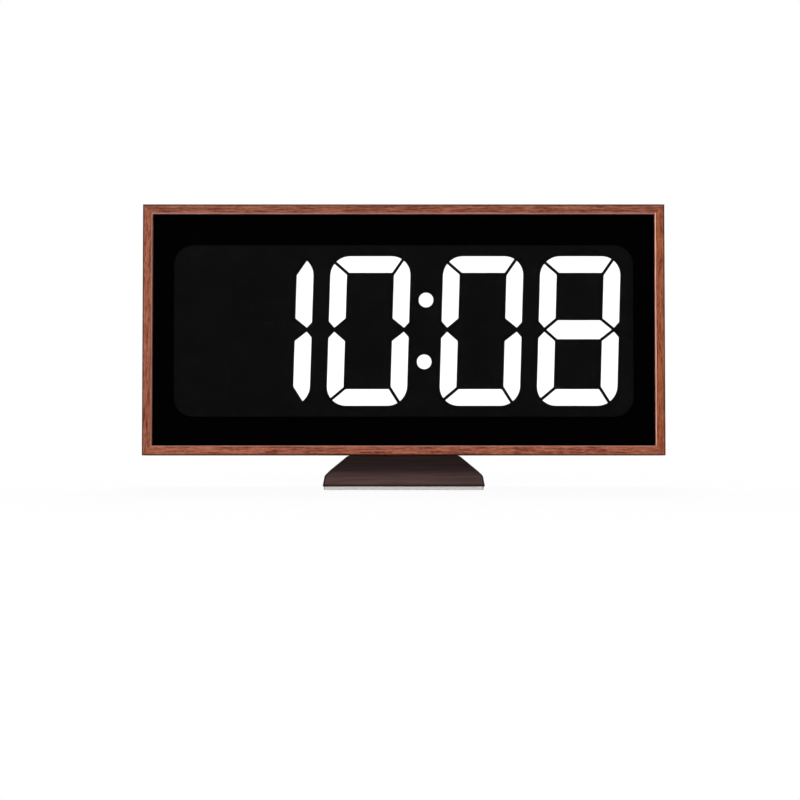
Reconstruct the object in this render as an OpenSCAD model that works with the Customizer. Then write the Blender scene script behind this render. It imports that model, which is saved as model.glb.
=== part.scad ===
// Wide LED desk clock: mitred wood frame, smoked front panel, seven-segment display, sloped stand.
// The clock is drawn upright with its front at y = 0 and its underside at z = 0, then leaned back.

/* [Clock] */
// Width of the clock
frame_w = 380; // [340:1:440]
// Height of the clock's frame
frame_h = 183; // [160:1:215]

/* [Digits] */
// Width of the upright, top and bottom bars
stroke = 12.2; // [9:0.1:14]
// Width of the middle bar
middle_stroke = 13.9; // [11:0.1:17]
// Gap between neighbouring segments
segment_gap = 2.1; // [1:0.1:3]
// Outer corner radius of a digit
digit_corner_r = 14.2; // [8:0.1:18]
// Gap from one digit to the next within a pair
digit_gap = 12.3; // [9:0.1:30]
// Extra room between the two pairs, for the colon
colon_room = 11.4; // [8:0.1:30]
// Lean of the digits to the right, in degrees
slant = 1.7; // [0:0.1:6]
// Angle of the corner cuts on the left of a digit
left_cut = 40.5; // [32:0.5:58]
// Angle of the corner cuts on the right of a digit
right_cut = 56.5; // [32:0.5:58]
// Distance of the left side tips from the digit's edge
left_tip = 4.1; // [2.5:0.1:6]
// Distance of the right side tips from the digit's edge
right_tip = 3.5; // [2.5:0.1:6]
// Angle of the short cuts outside the side tips
tip_cut = 48; // [40:1:60]
// Height of the middle bar above the digit's centre
middle_rise = 0.9; // [-2:0.1:3]
// Diameter of a colon dot
dot_d = 10.8; // [6:0.2:14]
// Distance between the two colon dots
dot_spacing = 45.2; // [30:0.2:60]

/* [Window and panel] */
// Clear window to the left of the first digit
window_left = 41.9; // [8:0.1:60]
// Clear window to the right of the last digit
window_right = 10.6; // [8:0.1:60]
// Clear window above and below the digits
window_end = 8; // [5:0.1:30]
// Corner radius of the window
window_corner_r = 14; // [4:0.5:30]
// Black border between the window and the frame at the sides
border_side = 15.1; // [14:0.1:50]
// Black border between the window and the frame above and below
border_end = 21.6; // [19:0.1:50]
// Thickness of the smoked front panel
panel_t = 2; // [1.5:0.1:4]
// Thickness of the printed mask film
mask_t = 0.3; // [0.2:0.05:0.6]

/* [Frame] */
// Width of a rail seen from the front
lip_w = 7.2; // [6:0.1:12]
// Thickness of a rail behind its front lip
rail_t = 4.8; // [3.5:0.1:5.5]
// Depth of the front lip, which sets the panel back
lip_t = 3.5; // [2:0.1:8]
// Chamfer on the outer edges of the frame
edge_chamfer = 0.6; // [0.2:0.1:1.5]
// Chamfer on the inner front edge of the frame
lip_chamfer = 1; // [0.3:0.1:1.6]
// Side of the square blocks glued into the frame's corners
corner_block = 14; // [10:0.5:16]
// Height of the blocks glued to the middle of the top and bottom rails
rail_block_h = 12; // [9:0.5:14]
// Length of the block on the bottom rail, over the stand
stand_block_l = 96; // [90:1:150]
// Length of the block on the top rail
top_block_l = 40; // [20:1:100]

/* [Display] */
// How far the display sits below the middle of the frame
display_drop = 0.6; // [0:0.1:2]
// Depth of the segment housing
housing_t = 10; // [7:0.5:14]
// Margin of the housing round the window
housing_margin = 6; // [5:0.1:9]
// Thickness of the light guides at the front of the segments
lens_t = 2.5; // [1.5:0.1:5]
// Thickness of both circuit boards
board_t = 1.6; // [1:0.1:2]
// Setback of the display board from the housing's edge
board_setback = 1; // [0.5:0.1:2]
// Clear space between the display board and the control board
board_gap = 7.05; // [6.5:0.05:20]

/* [Back cover] */
// Thickness of the back cover
cover_t = 2.5; // [2:0.1:4]
// Setback of the cover from the back of the frame
cover_setback = 1; // [0:0.1:3]
// Width of the control board
control_w = 110; // [108:1:130]
// Height of the control board
control_h = 76; // [74:1:84]
// Distance of the control board from the frame's side
control_edge = 38.2; // [30:0.1:60]
// Diameter of a button cap
button_d = 9; // [6:0.5:10]
// Distance between button centres
button_pitch = 16; // [14:0.5:20]
// Height of a button cap above the cover
button_proud = 1; // [0.5:0.1:2]
// How far a button can be pressed
press_deep = 0.5; // [0.25:0.05:0.8]
// Diameter of the battery cap
cap_d = 27; // [26.6:0.1:32]
// Width of a vent slot
vent_w = 2.4; // [1.5:0.1:3.5]
// Length of a vent slot
vent_l = 24; // [10:1:40]
// Distance between vent slots
vent_pitch = 6; // [5:0.5:10]

/* [Stand] */
// Lean of the clock on its stand, in degrees
lean = 2; // [0:0.5:8]
// Width of the stand at its foot
stand_w = 115.5; // [108:0.5:160]
// Depth of the stand at its foot
stand_d = 86; // [80:0.5:140]
// Height of the stand above its pad, at the middle of its top
stand_h = 20.6; // [19:0.1:40]
// Height of the stand's straight wall
stand_wall_h = 7.7; // [6:0.1:10]
// How far the straight wall draws in over its height
stand_wall_in = 1.4; // [0.4:0.1:3]
// Width of the stand's flat top
saddle_w = 81.4; // [74:0.1:100]
// Depth of the stand's flat top
saddle_d = 31; // [24:0.5:35]
// Thickness of the stand's walls
stand_t = 2.6; // [2:0.1:3.4]
// Thickness of the stand's top, under the clock
saddle_t = 4; // [3:0.1:5]
// Distance of the stand screws from the centre line
stand_screw_x = 25; // [20:0.5:28]
// Thickness of the bottom plate
floor_t = 2.4; // [2:0.1:3.5]
// Thickness of the non-slip pad
pad_t = 2.6; // [1:0.1:4]
// Setback of the pad from the stand's edge
pad_setback = 0.8; // [0.3:0.1:4]

/* [Fits] */
// Clearance of sheets and covers inside the frame
sheet_fit = 0.25; // [0.1:0.05:0.5]
// Clearance round each light guide
lens_fit = 0.1; // [0.05:0.01:0.2]
// Clearance round screws, inserts and switch plungers
screw_fit = 0.08; // [0.05:0.01:0.1]
// Clearance round button caps and the battery cap
button_fit = 0.3; // [0.25:0.05:0.45]

/* [Hidden] */
$fn = 48;

// Numerals shown, and the segments that light for 0 to 9
// Segments count from the top bar clockwise, with the middle bar last
shown = "1008";
LIT = ["012345", "12", "01346", "01236", "1256", "02356", "023456", "012", "0123456", "012356"];
corner_steps = 6;

// Standard parts
led_size = [3.5, 1, 2.8];
leds_per_segment = 3;
driver_size = [10.3, 2.3, 7.5];
connector_size = [6, 5.5, 16];
ribbon_w = 12.7;
ribbon_t = 0.9;
ribbon_steps = 16;
ribbon_wave = 0.7;
chip_size = [10, 1.4, 10];
chip_leads = [12, 0.2, 12];
crystal_d = 2;
crystal_l = 6;
capacitor_d = 6.3;
capacitor_h = 5.4;
buzzer_d = 12;
buzzer_h = 5.5;
buzzer_hole_d = 2;
switch_side = 6;
switch_h = 3.5;
plunger_d = 3.4;
plunger_h = 1.5;
plunger_sunk = 1.2;
coin_d = 20;
coin_t = 3.2;
contact_d = 12;
contact_t = 0.4;
socket_w = 9;
socket_h = 3.2;
socket_wall = 0.3;
socket_depth = 6;
tongue_w = 6.6;
tongue_t = 0.7;
tongue_l = 4.6;

// Screws, each as thread radius, head radius, head height and length
small_screw = [1.2, 2.2, 1.5, 6];
cover_screw = [1.5, 2.9, 1.5, 13];
floor_screw = [1.5, 2.9, 1.4, 9];
stand_screw = [2, 3.8, 2.7, 24];
hole_room = 0.25;
head_room = 0.5;
insert_r = 2.9;
insert_l = 7;
insert_wall = 2;

// How far cutting shapes run past the faces they open
past = 1;

// Window and digits, worked inwards from the frame
window_w = frame_w - 2 * (lip_w + border_side);
window_h = frame_h - 2 * (lip_w + border_end);
digits_w = window_w - window_left - window_right;
digit_w = (digits_w - colon_room - 3 * digit_gap) / 4;
digit_h = window_h - 2 * window_end;
digit_pitch = digit_w + digit_gap;
housing_w = window_w + 2 * housing_margin;
housing_h = window_h + 2 * housing_margin;
board_w = housing_w - 2 * board_setback;
board_h = housing_h - 2 * board_setback;
first_digit_x = -window_w / 2 + window_left + digit_w / 2;
digit_x = [
    first_digit_x,
    first_digit_x + digit_pitch,
    first_digit_x + 2 * digit_pitch + colon_room,
    first_digit_x + 3 * digit_pitch + colon_room
];
colon_x = (digit_x[1] + digit_x[2]) / 2;

// Space inside the frame
inner_w = frame_w - 2 * rail_t;
inner_h = frame_h - 2 * rail_t;
centre_z = frame_h / 2;
display_z = centre_z - display_drop;

// Buttons and bosses behind the cover
flange_t = 1.2;
flange_gap = 0.15;
flange_wide = 1.5;
plunger_gap = 0.1;
switch_stack = flange_gap + flange_t + plunger_gap + plunger_h + switch_h;

// Layers of the clock body, from the front
panel_y = lip_t;
mask_y = panel_y + panel_t;
housing_y = mask_y + mask_t;
board_y = housing_y + housing_t;
board_back = board_y + board_t;
control_y = board_back + board_gap;
control_back = control_y + board_t;
cover_front = control_back + switch_stack;
cover_back = cover_front + cover_t;
frame_d = cover_back + cover_setback;

// Control board and what stands on it; each place is x, z from the board's centre, seen from the front
control_offset = inner_w / 2 - control_edge - control_w / 2;
control_place = [-control_offset, centre_z];
button_height = 24;
button_x = [for (i = [0:3]) (1.5 - i) * button_pitch];
cell_place = [30, -12];
socket_in = 25;
socket_place = [socket_in - control_w / 2, -24];
buzzer_place = [-22, 2];
chip_place = [-10, -4];
crystal_place = [4, 8];
capacitor_in = 15;
capacitor_z = [12, 22];
capacitor_places = [for (z = capacitor_z) [capacitor_in - control_w / 2, z]];
plug_edge = 6;
plug_span = 22;
control_plug_place = [control_w / 2 - plug_edge, 14];
display_plug_x = control_place[0] + control_w / 2 + plug_span;
plug_z = centre_z + control_plug_place[1];
boss_edge = 4.5;
boss_d = 6.4;
post_d = 7;
post_in = 18;
screw_edge = 2.9;

// Bayonet of the battery cap, measured inwards from the cover's outer face
cap_t = 1.6;
cap_gap = 0.1;
lug_t = 1.1;
lug_gap = 0.15;
lug_reach = 2;
lug_setback = 0.3;
lug_angle = 30;
notch_angle = 38;
unlock_angle = 50;
skirt_t = 0.9;
skirt_past_lug = 0.1;
press_d = 10;
slot_l = 15;
slot_w = 2.2;
slot_deep = 1;
skirt_r = cap_d / 2 - lug_reach - lug_setback;
cell_deep = cover_t + switch_stack - contact_t - coin_t;
skirt_deep = cell_deep - button_fit;
lug_deep = skirt_deep - skirt_past_lug - lug_t;
groove_deep = lug_deep - lug_gap;
ledge_deep = cap_t + cap_gap;
tube_wall = 1.8;
lug_room = skirt_r + lug_reach + button_fit;
notch_r = lug_room - skirt_past_lug;
tube_r = lug_room + tube_wall;
tube_end = cover_t + switch_stack - contact_t;

// Vents and sound slots in the cover
vent_columns = 10;
vent_row_gap = 8;
sound_slots = 4;
sound_w = 1.6;
sound_l = 10;
sound_pitch = 3.2;

// Stand, from the floor up
floor_top = pad_t + floor_t;
wall_top = pad_t + stand_wall_h;
saddle_z = pad_t + stand_h;
top_spare = saddle_d / 2 * tan(lean) + past;
screw_boss_r = insert_r + insert_wall;
screw_boss_end = saddle_z - (saddle_t + insert_l) * cos(lean) - screw_boss_r * sin(lean);
floor_boss_d = 7.2;
floor_boss_in = 13;
floor_boss = [stand_w / 2 - floor_boss_in, stand_d / 2 - floor_boss_in];
ballast_room = 1;
ballast_size = [
    2 * (floor_boss[0] - floor_boss_d / 2 - ballast_room),
    2 * (floor_boss[1] - floor_boss_d / 2 - ballast_room),
    screw_boss_end - floor_top - ballast_room
];
counterbore_deep = 4.5;
counterbore_r = stand_screw[1] + head_room;
block_screw_in = 8;

// Colours
wood = [0.56, 0.32, 0.24];
block_wood = [0.76, 0.62, 0.44];
black = [0.05, 0.05, 0.055];
grey_black = [0.11, 0.11, 0.115];
lit_white = [1, 1, 1];
board_green = [0.1, 0.3, 0.18];
steel = [0.7, 0.71, 0.72];
brass = [0.78, 0.62, 0.3];
stand_brown = [0.24, 0.17, 0.165];
pad_grey = [0.76, 0.74, 0.71];

// Plane geometry of the segments

// Unit vector at an angle
function ray(a) = [cos(a), sin(a)];

// Point p moved by s to the left of direction a
function aside(p, a, s) = p + s * [-sin(a), cos(a)];

// Crossing of the line through p at angle a with the line through q at angle b
function meet(p, a, q, b) =
    p + ray(a) * ((q - p) * [sin(b), -cos(b)]) / (ray(a) * [sin(b), -cos(b)]);

// Angle, seen from centre c, where the ray from p at angle a leaves the circle of radius r
function exit_angle(p, a, c, r) =
    let (w = p - c, along = w * ray(a), q = w + ray(a) * (sqrt(along * along - w * w + r * r) - along))
    atan2(q[1], q[0]);

// Points of an arc
function arc(c, r, from, to) =
    [for (i = [0:corner_steps]) c + r * ray(from + (to - from) * i / corner_steps)];

// A list backwards
function backwards(list) = [for (i = [len(list) - 1:-1:0]) list[i]];

// Points drawn for the upper right quarter of a digit, put on side s and in half t of the leaning digit
function quarter(s, t, points) =
    [for (p = points) let (z = middle_rise + t * p[1]) [s * p[0] + z * tan(slant), z]];

function cut_angle(s) = s > 0 ? right_cut : left_cut;
function tip_inset(s) = s > 0 ? right_tip : left_tip;
function half_height(t) = digit_h / 2 - t * middle_rise;
function inner_corner(t) = [digit_w / 2 - stroke, half_height(t) - stroke];
function corner_centre(t) = [digit_w / 2 - digit_corner_r, half_height(t) - digit_corner_r];
function side_tip(s) = [digit_w / 2 - tip_inset(s), 0];
function middle_cut(s) = atan2(middle_stroke / 2, tip_inset(s) - stroke);

// Upright bar on side s in half t, drawn smaller by inset all round
function upright(s, t, inset) =
    let (
        half_gap = segment_gap / 2 + inset,
        inner = inner_corner(t) + [inset, 0],
        corner = aside(inner_corner(t), cut_angle(s), -half_gap),
        inward = aside(side_tip(s), middle_cut(s), -half_gap),
        outward = aside(side_tip(s), tip_cut, half_gap),
        c = corner_centre(t),
        r = digit_corner_r - inset
    )
    quarter(s, t, concat(
        [meet(inner, 90, corner, cut_angle(s))],
        arc(c, r, exit_angle(corner, cut_angle(s), c, r), 0),
        [
            meet([digit_w / 2 - inset, 0], 90, outward, tip_cut),
            meet(outward, tip_cut, inward, middle_cut(s)),
            meet(inward, middle_cut(s), inner, 90)
        ]
    ));

// Half of the top or bottom bar, on side s
function half_bar(s, t, inset) =
    let (
        corner = aside(inner_corner(t), cut_angle(s), segment_gap / 2 + inset),
        c = corner_centre(t),
        r = digit_corner_r - inset
    )
    quarter(s, t, concat(
        [meet(inner_corner(t) + [0, inset], 0, corner, cut_angle(s))],
        arc(c, r, exit_angle(corner, cut_angle(s), c, r), 90)
    ));

// Half of the middle bar, on side s
function half_middle(s, inset) =
    let (
        cut = aside(side_tip(s), middle_cut(s), segment_gap / 2 + inset),
        shoulder = meet(cut, middle_cut(s), [0, middle_stroke / 2 - inset], 0),
        tip = meet(cut, middle_cut(s), [0, 0], 0)
    )
    quarter(s, 1, [[shoulder[0], -shoulder[1]], tip, shoulder]);

// Outline of segment k
function segment(k, inset) =
    k == 0 || k == 3
        ? let (t = k == 0 ? 1 : -1) concat(half_bar(1, t, inset), backwards(half_bar(-1, t, inset)))
        : k == 6
        ? concat(half_middle(1, inset), backwards(half_middle(-1, inset)))
        : upright(k < 3 ? 1 : -1, k == 1 || k == 5 ? 1 : -1, inset);

// Centres of the light sources under segment k
function led_places(k) =
    let (n = leds_per_segment - 1, reach = digit_w / 2 - stroke - led_size[0])
    k == 0 || k == 3
        ? let (t = k == 0 ? 1 : -1)
          quarter(1, t, [for (i = [0:n]) [reach * (2 * i / n - 1), half_height(t) - stroke / 2]])
        : k == 6
        ? quarter(1, 1, [for (i = [0:n]) [reach * (2 * i / n - 1), 0]])
        : let (
              t = k == 1 || k == 5 ? 1 : -1,
              x = digit_w / 2 - stroke / 2,
              low = middle_stroke,
              high = half_height(t) - stroke - led_size[2]
          )
          quarter(k < 3 ? 1 : -1, t, [for (i = [0:n]) [x, low + (high - low) * i / n]]);

// Value of a numeral
function value(c) = ord(c) - ord("0");

// Segments lit on digit d
function lit(d) = [for (c = LIT[value(shown[d])]) value(c)];

function holds(list, k) = len([for (v = list) if (v == k) v]) > 0;
function colon_places() =
    [for (t = [-1, 1]) [colon_x + t * dot_spacing / 2 * tan(slant), t * dot_spacing / 2]];
function display_screw_places() =
    [for (i = [-1:1], j = [-1, 1]) [i * (board_w / 2 - screw_edge), j * (board_h / 2 - screw_edge)]];
function control_boss_places() =
    [for (i = [-1, 1], j = [-1, 1]) [i * (control_w / 2 - boss_edge), j * (control_h / 2 - boss_edge)]];
function corner_block_places() =
    [
        for (i = [-1, 1], j = [-1, 1])
            [i * (inner_w - corner_block) / 2, centre_z + j * (inner_h - corner_block) / 2]
    ];
function cover_screw_places() = concat(
    corner_block_places(),
    [for (i = [-1, 1]) [i * (stand_block_l / 2 - block_screw_in), rail_t + rail_block_h / 2]],
    [[0, frame_h - rail_t - rail_block_h / 2]]
);

// Placing

// From the upright clock body to its leaning place on the stand
module leaned() {
    translate([0, 0, saddle_z])
        rotate([-lean, 0, 0])
            translate([0, -frame_d / 2, 0])
                children();
}

// A plane shape in x, z given depth from y towards the back
module layer(y, depth) {
    translate([0, y + depth, 0])
        rotate([90, 0, 0])
            linear_extrude(height = depth)
                children();
}

// A turned shape whose axis runs from p towards the back
module turned(p) {
    translate(p)
        rotate([-90, 0, 0])
            children();
}

// A box centred on x = 0, from y and z upwards
module slab(w, y, depth, z, h) {
    translate([-w / 2, y, z])
        cube([w, depth, h]);
}

// A box of a standard part, centred on x, z at place p
module part_box(p, y, size) {
    translate([p[0] - size[0] / 2, y, p[1] - size[2] / 2])
        cube(size);
}

// Screw with its thread towards +z and its round head below z = 0
module pan_screw(screw) {
    cylinder(r = screw[0], h = screw[3]);
    translate([0, 0, -screw[2]])
        cylinder(r = screw[1], h = screw[2]);
}

// Screw with its thread towards +z and its countersunk head sunk from z = 0
module sunk_screw(screw) {
    rotate_extrude()
        polygon([
            [0, 0],
            [screw[1], 0],
            [screw[0], screw[2]],
            [screw[0], screw[3]],
            [0, screw[3]]
        ]);
}

// Hole for such a screw, which opens through z = 0
module sunk_hole(screw) {
    rotate_extrude()
        polygon([
            [0, -past],
            [screw[1] + screw_fit, -past],
            [screw[1] + screw_fit, 0],
            [screw[0] + screw_fit, screw[2]],
            [screw[0] + screw_fit, screw[3] + past],
            [0, screw[3] + past]
        ]);
}

// Flat shape with round ends
module oblong(w, h) {
    square([w - h, h], center = true);
    for (s = [-1, 1])
        translate([s * (w - h) / 2, 0])
            circle(d = h);
}

// Rectangle with round corners
module round_rectangle(w, h, r) {
    square([w - 2 * r, h], center = true);
    square([w, h - 2 * r], center = true);
    for (i = [-1, 1], j = [-1, 1])
        translate([i * (w / 2 - r), j * (h / 2 - r)])
            circle(r = r);
}

// Place on the control board
module on_control(p) {
    translate([control_place[0] + p[0], 0, control_place[1] + p[1]])
        children();
}

// Frame

// Rail of a given length along x, outer face down, mitred at both ends
module rail(length) {
    intersection() {
        translate([-length / 2, 0, 0])
            rotate([90, 0, 90])
                linear_extrude(height = length)
                    polygon([
                        [0, edge_chamfer],
                        [edge_chamfer, 0],
                        [frame_d - edge_chamfer, 0],
                        [frame_d, edge_chamfer],
                        [frame_d, rail_t],
                        [lip_t, rail_t],
                        [lip_t, lip_w],
                        [lip_chamfer, lip_w],
                        [0, lip_w - lip_chamfer]
                    ]);
        layer(0, frame_d)
            polygon([
                [-length / 2, 0],
                [length / 2, 0],
                [length / 2 - lip_w, lip_w],
                [-length / 2 + lip_w, lip_w]
            ]);
    }
}

module side_rail() {
    translate([-frame_w / 2, 0, centre_z])
        rotate([0, 90, 0])
            rail(frame_h);
}

module frame_top() {
    color(wood)
        leaned()
            translate([0, 0, frame_h])
                mirror([0, 0, 1])
                    rail(frame_w);
}

module frame_bottom() {
    color(wood)
        leaned()
            difference() {
                rail(frame_w);
                for (s = [-1, 1])
                    translate([s * stand_screw_x, frame_d / 2, -past])
                        cylinder(r = stand_screw[0] + hole_room, h = rail_t + 2 * past);
            }
}

module frame_left() {
    color(wood)
        leaned()
            side_rail();
}

module frame_right() {
    color(wood)
        leaned()
            mirror([1, 0, 0])
                side_rail();
}

// Pilot holes of the cover screws, as far as the screws reach
module cover_screw_holes() {
    for (p = cover_screw_places())
        translate([p[0], cover_back, p[1]])
            rotate([90, 0, 0])
                sunk_hole(cover_screw);
}

module corner_blocks() {
    color(block_wood)
        leaned()
            difference() {
                for (p = corner_block_places())
                    part_box(p, housing_y, [corner_block, cover_front - housing_y, corner_block]);
                cover_screw_holes();
            }
}

module stand_block() {
    color(block_wood)
        leaned()
            difference() {
                slab(stand_block_l, housing_y, cover_front - housing_y, rail_t, rail_block_h);
                cover_screw_holes();
                for (s = [-1, 1])
                    translate([s * stand_screw_x, frame_d / 2, rail_t - past]) {
                        cylinder(r = stand_screw[0] + hole_room, h = rail_block_h + 2 * past);
                        translate([0, 0, past + rail_block_h - counterbore_deep])
                            cylinder(r = counterbore_r, h = counterbore_deep + past);
                    }
            }
}

module top_block() {
    color(block_wood)
        leaned()
            difference() {
                slab(
                    top_block_l,
                    housing_y,
                    cover_front - housing_y,
                    frame_h - rail_t - rail_block_h,
                    rail_block_h
                );
                cover_screw_holes();
            }
}

// Front panel and display

module sheet(y, depth) {
    slab(inner_w - 2 * sheet_fit, y, depth, rail_t + sheet_fit, inner_h - 2 * sheet_fit);
}

module front_panel() {
    color(black, 0.6)
        leaned()
            sheet(panel_y, panel_t);
}

module window_mask() {
    color(black)
        leaned()
            difference() {
                sheet(mask_y, mask_t);
                translate([0, 0, display_z])
                    layer(mask_y - past, mask_t + 2 * past)
                        round_rectangle(window_w, window_h, window_corner_r);
            }
}

// Segment k of digit d
module segment_prism(d, k, inset, y, depth) {
    translate([digit_x[d], 0, display_z])
        layer(y, depth)
            polygon(segment(k, inset));
}

// Both colon dots
module dot_prisms(inset, y, depth) {
    for (p = colon_places())
        turned([p[0], y, display_z + p[1]])
            cylinder(d = dot_d - 2 * inset, h = depth);
}

// Light guides of digit d
module digit_guides(d) {
    color(lit_white)
        leaned()
            for (k = lit(d))
                segment_prism(d, k, lens_fit, housing_y, lens_t);
}

module display_housing() {
    color(grey_black)
        leaned()
            difference() {
                slab(housing_w, housing_y, housing_t, display_z - housing_h / 2, housing_h);
                for (d = [0:3], k = [0:6])
                    segment_prism(d, k, 0, housing_y - past, housing_t + 2 * past);
                dot_prisms(0, housing_y - past, housing_t + 2 * past);
                for (p = display_screw_places())
                    translate([p[0], board_back + past, display_z + p[1]])
                        rotate([90, 0, 0])
                            cylinder(r = small_screw[0] + screw_fit, h = small_screw[3] + 2 * past);
            }
}

module hour_tens_segments() {
    digit_guides(0);
}

module hour_units_segments() {
    digit_guides(1);
}

module minute_tens_segments() {
    digit_guides(2);
}

module minute_units_segments() {
    digit_guides(3);
}

module colon_dots() {
    color(lit_white)
        leaned()
            dot_prisms(lens_fit, housing_y, lens_t);
}

module unlit_segments() {
    color(grey_black)
        leaned()
            for (d = [0:3], k = [0:6])
                if (!holds(lit(d), k))
                    segment_prism(d, k, lens_fit, housing_y, lens_t);
}

module display_board() {
    color(board_green)
        leaned()
            difference() {
                slab(board_w, board_y, board_t, display_z - board_h / 2, board_h);
                for (p = display_screw_places())
                    turned([p[0], board_y - past, display_z + p[1]])
                        cylinder(r = small_screw[0] + hole_room, h = board_t + 2 * past);
            }
}

module segment_leds() {
    color("khaki")
        leaned() {
            for (d = [0:3], k = [0:6], p = led_places(k))
                part_box([digit_x[d] + p[0], display_z + p[1]], board_y - led_size[1], led_size);
            for (p = colon_places())
                part_box([p[0], display_z + p[1]], board_y - led_size[1], led_size);
        }
}

module display_drivers() {
    color(black)
        leaned()
            for (d = [2, 3])
                part_box([digit_x[d], display_z], board_back, driver_size);
}

module display_connector() {
    color("ivory")
        leaned()
            part_box([display_plug_x, plug_z], board_back, connector_size);
}

module display_screws() {
    color(steel)
        leaned()
            for (p = display_screw_places())
                translate([p[0], board_back, display_z + p[1]])
                    rotate([90, 0, 0])
                        pan_screw(small_screw);
}

// Flat cable that rises from the display board's plug to the control board's
module ribbon_cable() {
    from_x = display_plug_x - connector_size[0] / 2;
    to_x = control_place[0] + control_plug_place[0] + connector_size[0] / 2;
    from_y = board_back + connector_size[1] / 2;
    to_y = control_y - connector_size[1] / 2;
    path = [
        for (i = [0:ribbon_steps])
            let (t = i / ribbon_steps, rise = t * t * (3 - 2 * t))
            [from_x + (to_x - from_x) * t, from_y + (to_y - from_y) * rise + ribbon_wave * sin(360 * t)]
    ];
    color("silver")
        leaned()
            translate([0, 0, plug_z - ribbon_w / 2])
                linear_extrude(height = ribbon_w)
                    polygon(concat(
                        [for (p = path) p - [0, ribbon_t / 2]],
                        [for (p = backwards(path)) p + [0, ribbon_t / 2]]
                    ));
}

// Control board and its parts

module control_board() {
    color(board_green)
        leaned()
            on_control([0, 0])
                difference() {
                    slab(control_w, control_y, board_t, -control_h / 2, control_h);
                    for (p = control_boss_places())
                        turned([p[0], control_y - past, p[1]])
                            cylinder(r = small_screw[0] + hole_room, h = board_t + 2 * past);
                }
}

module control_connector() {
    color("ivory")
        leaned()
            on_control([0, 0])
                part_box(control_plug_place, control_y - connector_size[1], connector_size);
}

module microcontroller() {
    color(black)
        leaned()
            on_control([0, 0]) {
                part_box(chip_place, control_y - chip_size[1], chip_size);
                part_box(chip_place, control_y - chip_leads[1], chip_leads);
            }
}

module time_crystal() {
    color(steel)
        leaned()
            on_control(crystal_place)
                translate([0, control_y - crystal_d / 2 - screw_fit, 0])
                    cylinder(d = crystal_d, h = crystal_l);
}

module capacitors() {
    color("dimgray")
        leaned()
            for (p = capacitor_places)
                on_control(p)
                    turned([0, control_y - capacitor_h, 0])
                        cylinder(d = capacitor_d, h = capacitor_h);
}

module buzzer() {
    color(black)
        leaned()
            on_control(buzzer_place)
                turned([0, control_back, 0])
                    difference() {
                        cylinder(d = buzzer_d, h = buzzer_h);
                        translate([0, 0, buzzer_h / 2])
                            cylinder(d = buzzer_hole_d, h = buzzer_h);
                    }
}

module tact_switches() {
    color("dimgray")
        leaned()
            for (x = button_x)
                on_control([x, button_height])
                    difference() {
                        part_box([0, 0], control_back, [switch_side, switch_h, switch_side]);
                        turned([0, control_back + switch_h - plunger_sunk - press_deep - screw_fit, 0])
                            cylinder(d = plunger_d + 2 * screw_fit, h = switch_h);
                    }
}

// Moving tip of switch i
module plunger(i) {
    color("gainsboro")
        leaned()
            on_control([button_x[i], button_height])
                turned([0, control_back + switch_h - plunger_sunk, 0])
                    cylinder(d = plunger_d, h = plunger_sunk + plunger_h);
}

// Button i: a cap with a flange that keeps it behind the cover
module button(i) {
    cap_h = flange_t + flange_gap + cover_t + button_proud;
    edge = 0.5;
    color(grey_black)
        leaned()
            on_control([button_x[i], button_height])
                turned([0, cover_front - flange_gap - flange_t, 0])
                    rotate_extrude()
                        polygon([
                            [0, 0],
                            [button_d / 2 + flange_wide, 0],
                            [button_d / 2 + flange_wide, flange_t],
                            [button_d / 2, flange_t],
                            [button_d / 2, cap_h - edge],
                            [button_d / 2 - edge, cap_h],
                            [0, cap_h]
                        ]);
}

module set_plunger() {
    plunger(0);
}

module up_plunger() {
    plunger(1);
}

module down_plunger() {
    plunger(2);
}

module light_plunger() {
    plunger(3);
}

module set_button() {
    button(0);
}

module up_button() {
    button(1);
}

module down_button() {
    button(2);
}

module light_button() {
    button(3);
}

// Oblong low-voltage inlet, standing on the control board
module power_socket() {
    length = switch_stack + cover_t - sheet_fit;
    color(steel)
        leaned()
            on_control(socket_place) {
                difference() {
                    layer(control_back, length)
                        oblong(socket_w, socket_h);
                    layer(control_back + length - socket_depth, socket_depth + past)
                        oblong(socket_w - 2 * socket_wall, socket_h - 2 * socket_wall);
                }
                part_box(
                    [0, 0],
                    control_back + length - socket_depth - past,
                    [tongue_w, tongue_l + past, tongue_t]
                );
            }
}

module cell_contact() {
    color(brass)
        leaned()
            on_control(cell_place)
                turned([0, control_back, 0])
                    cylinder(d = contact_d, h = contact_t);
}

module coin_cell() {
    color(steel)
        leaned()
            on_control(cell_place)
                turned([0, control_back + contact_t, 0])
                    cylinder(d = coin_d, h = coin_t);
}

// Ring sector round the cap's axis, from radius r0 to r1 and depth s0 to s1, centred on an angle
module sector(r0, r1, s0, s1, middle, angle) {
    rotate([0, 0, middle - angle / 2])
        rotate_extrude(angle = angle)
            translate([r0, s0])
                square([r1 - r0, s1 - s0]);
}

// Frame of the battery cap: z runs inwards from the cover's outer face
module on_cell() {
    on_control(cell_place)
        translate([0, cover_back, 0])
            rotate([90, 0, 0])
                children();
}

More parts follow.
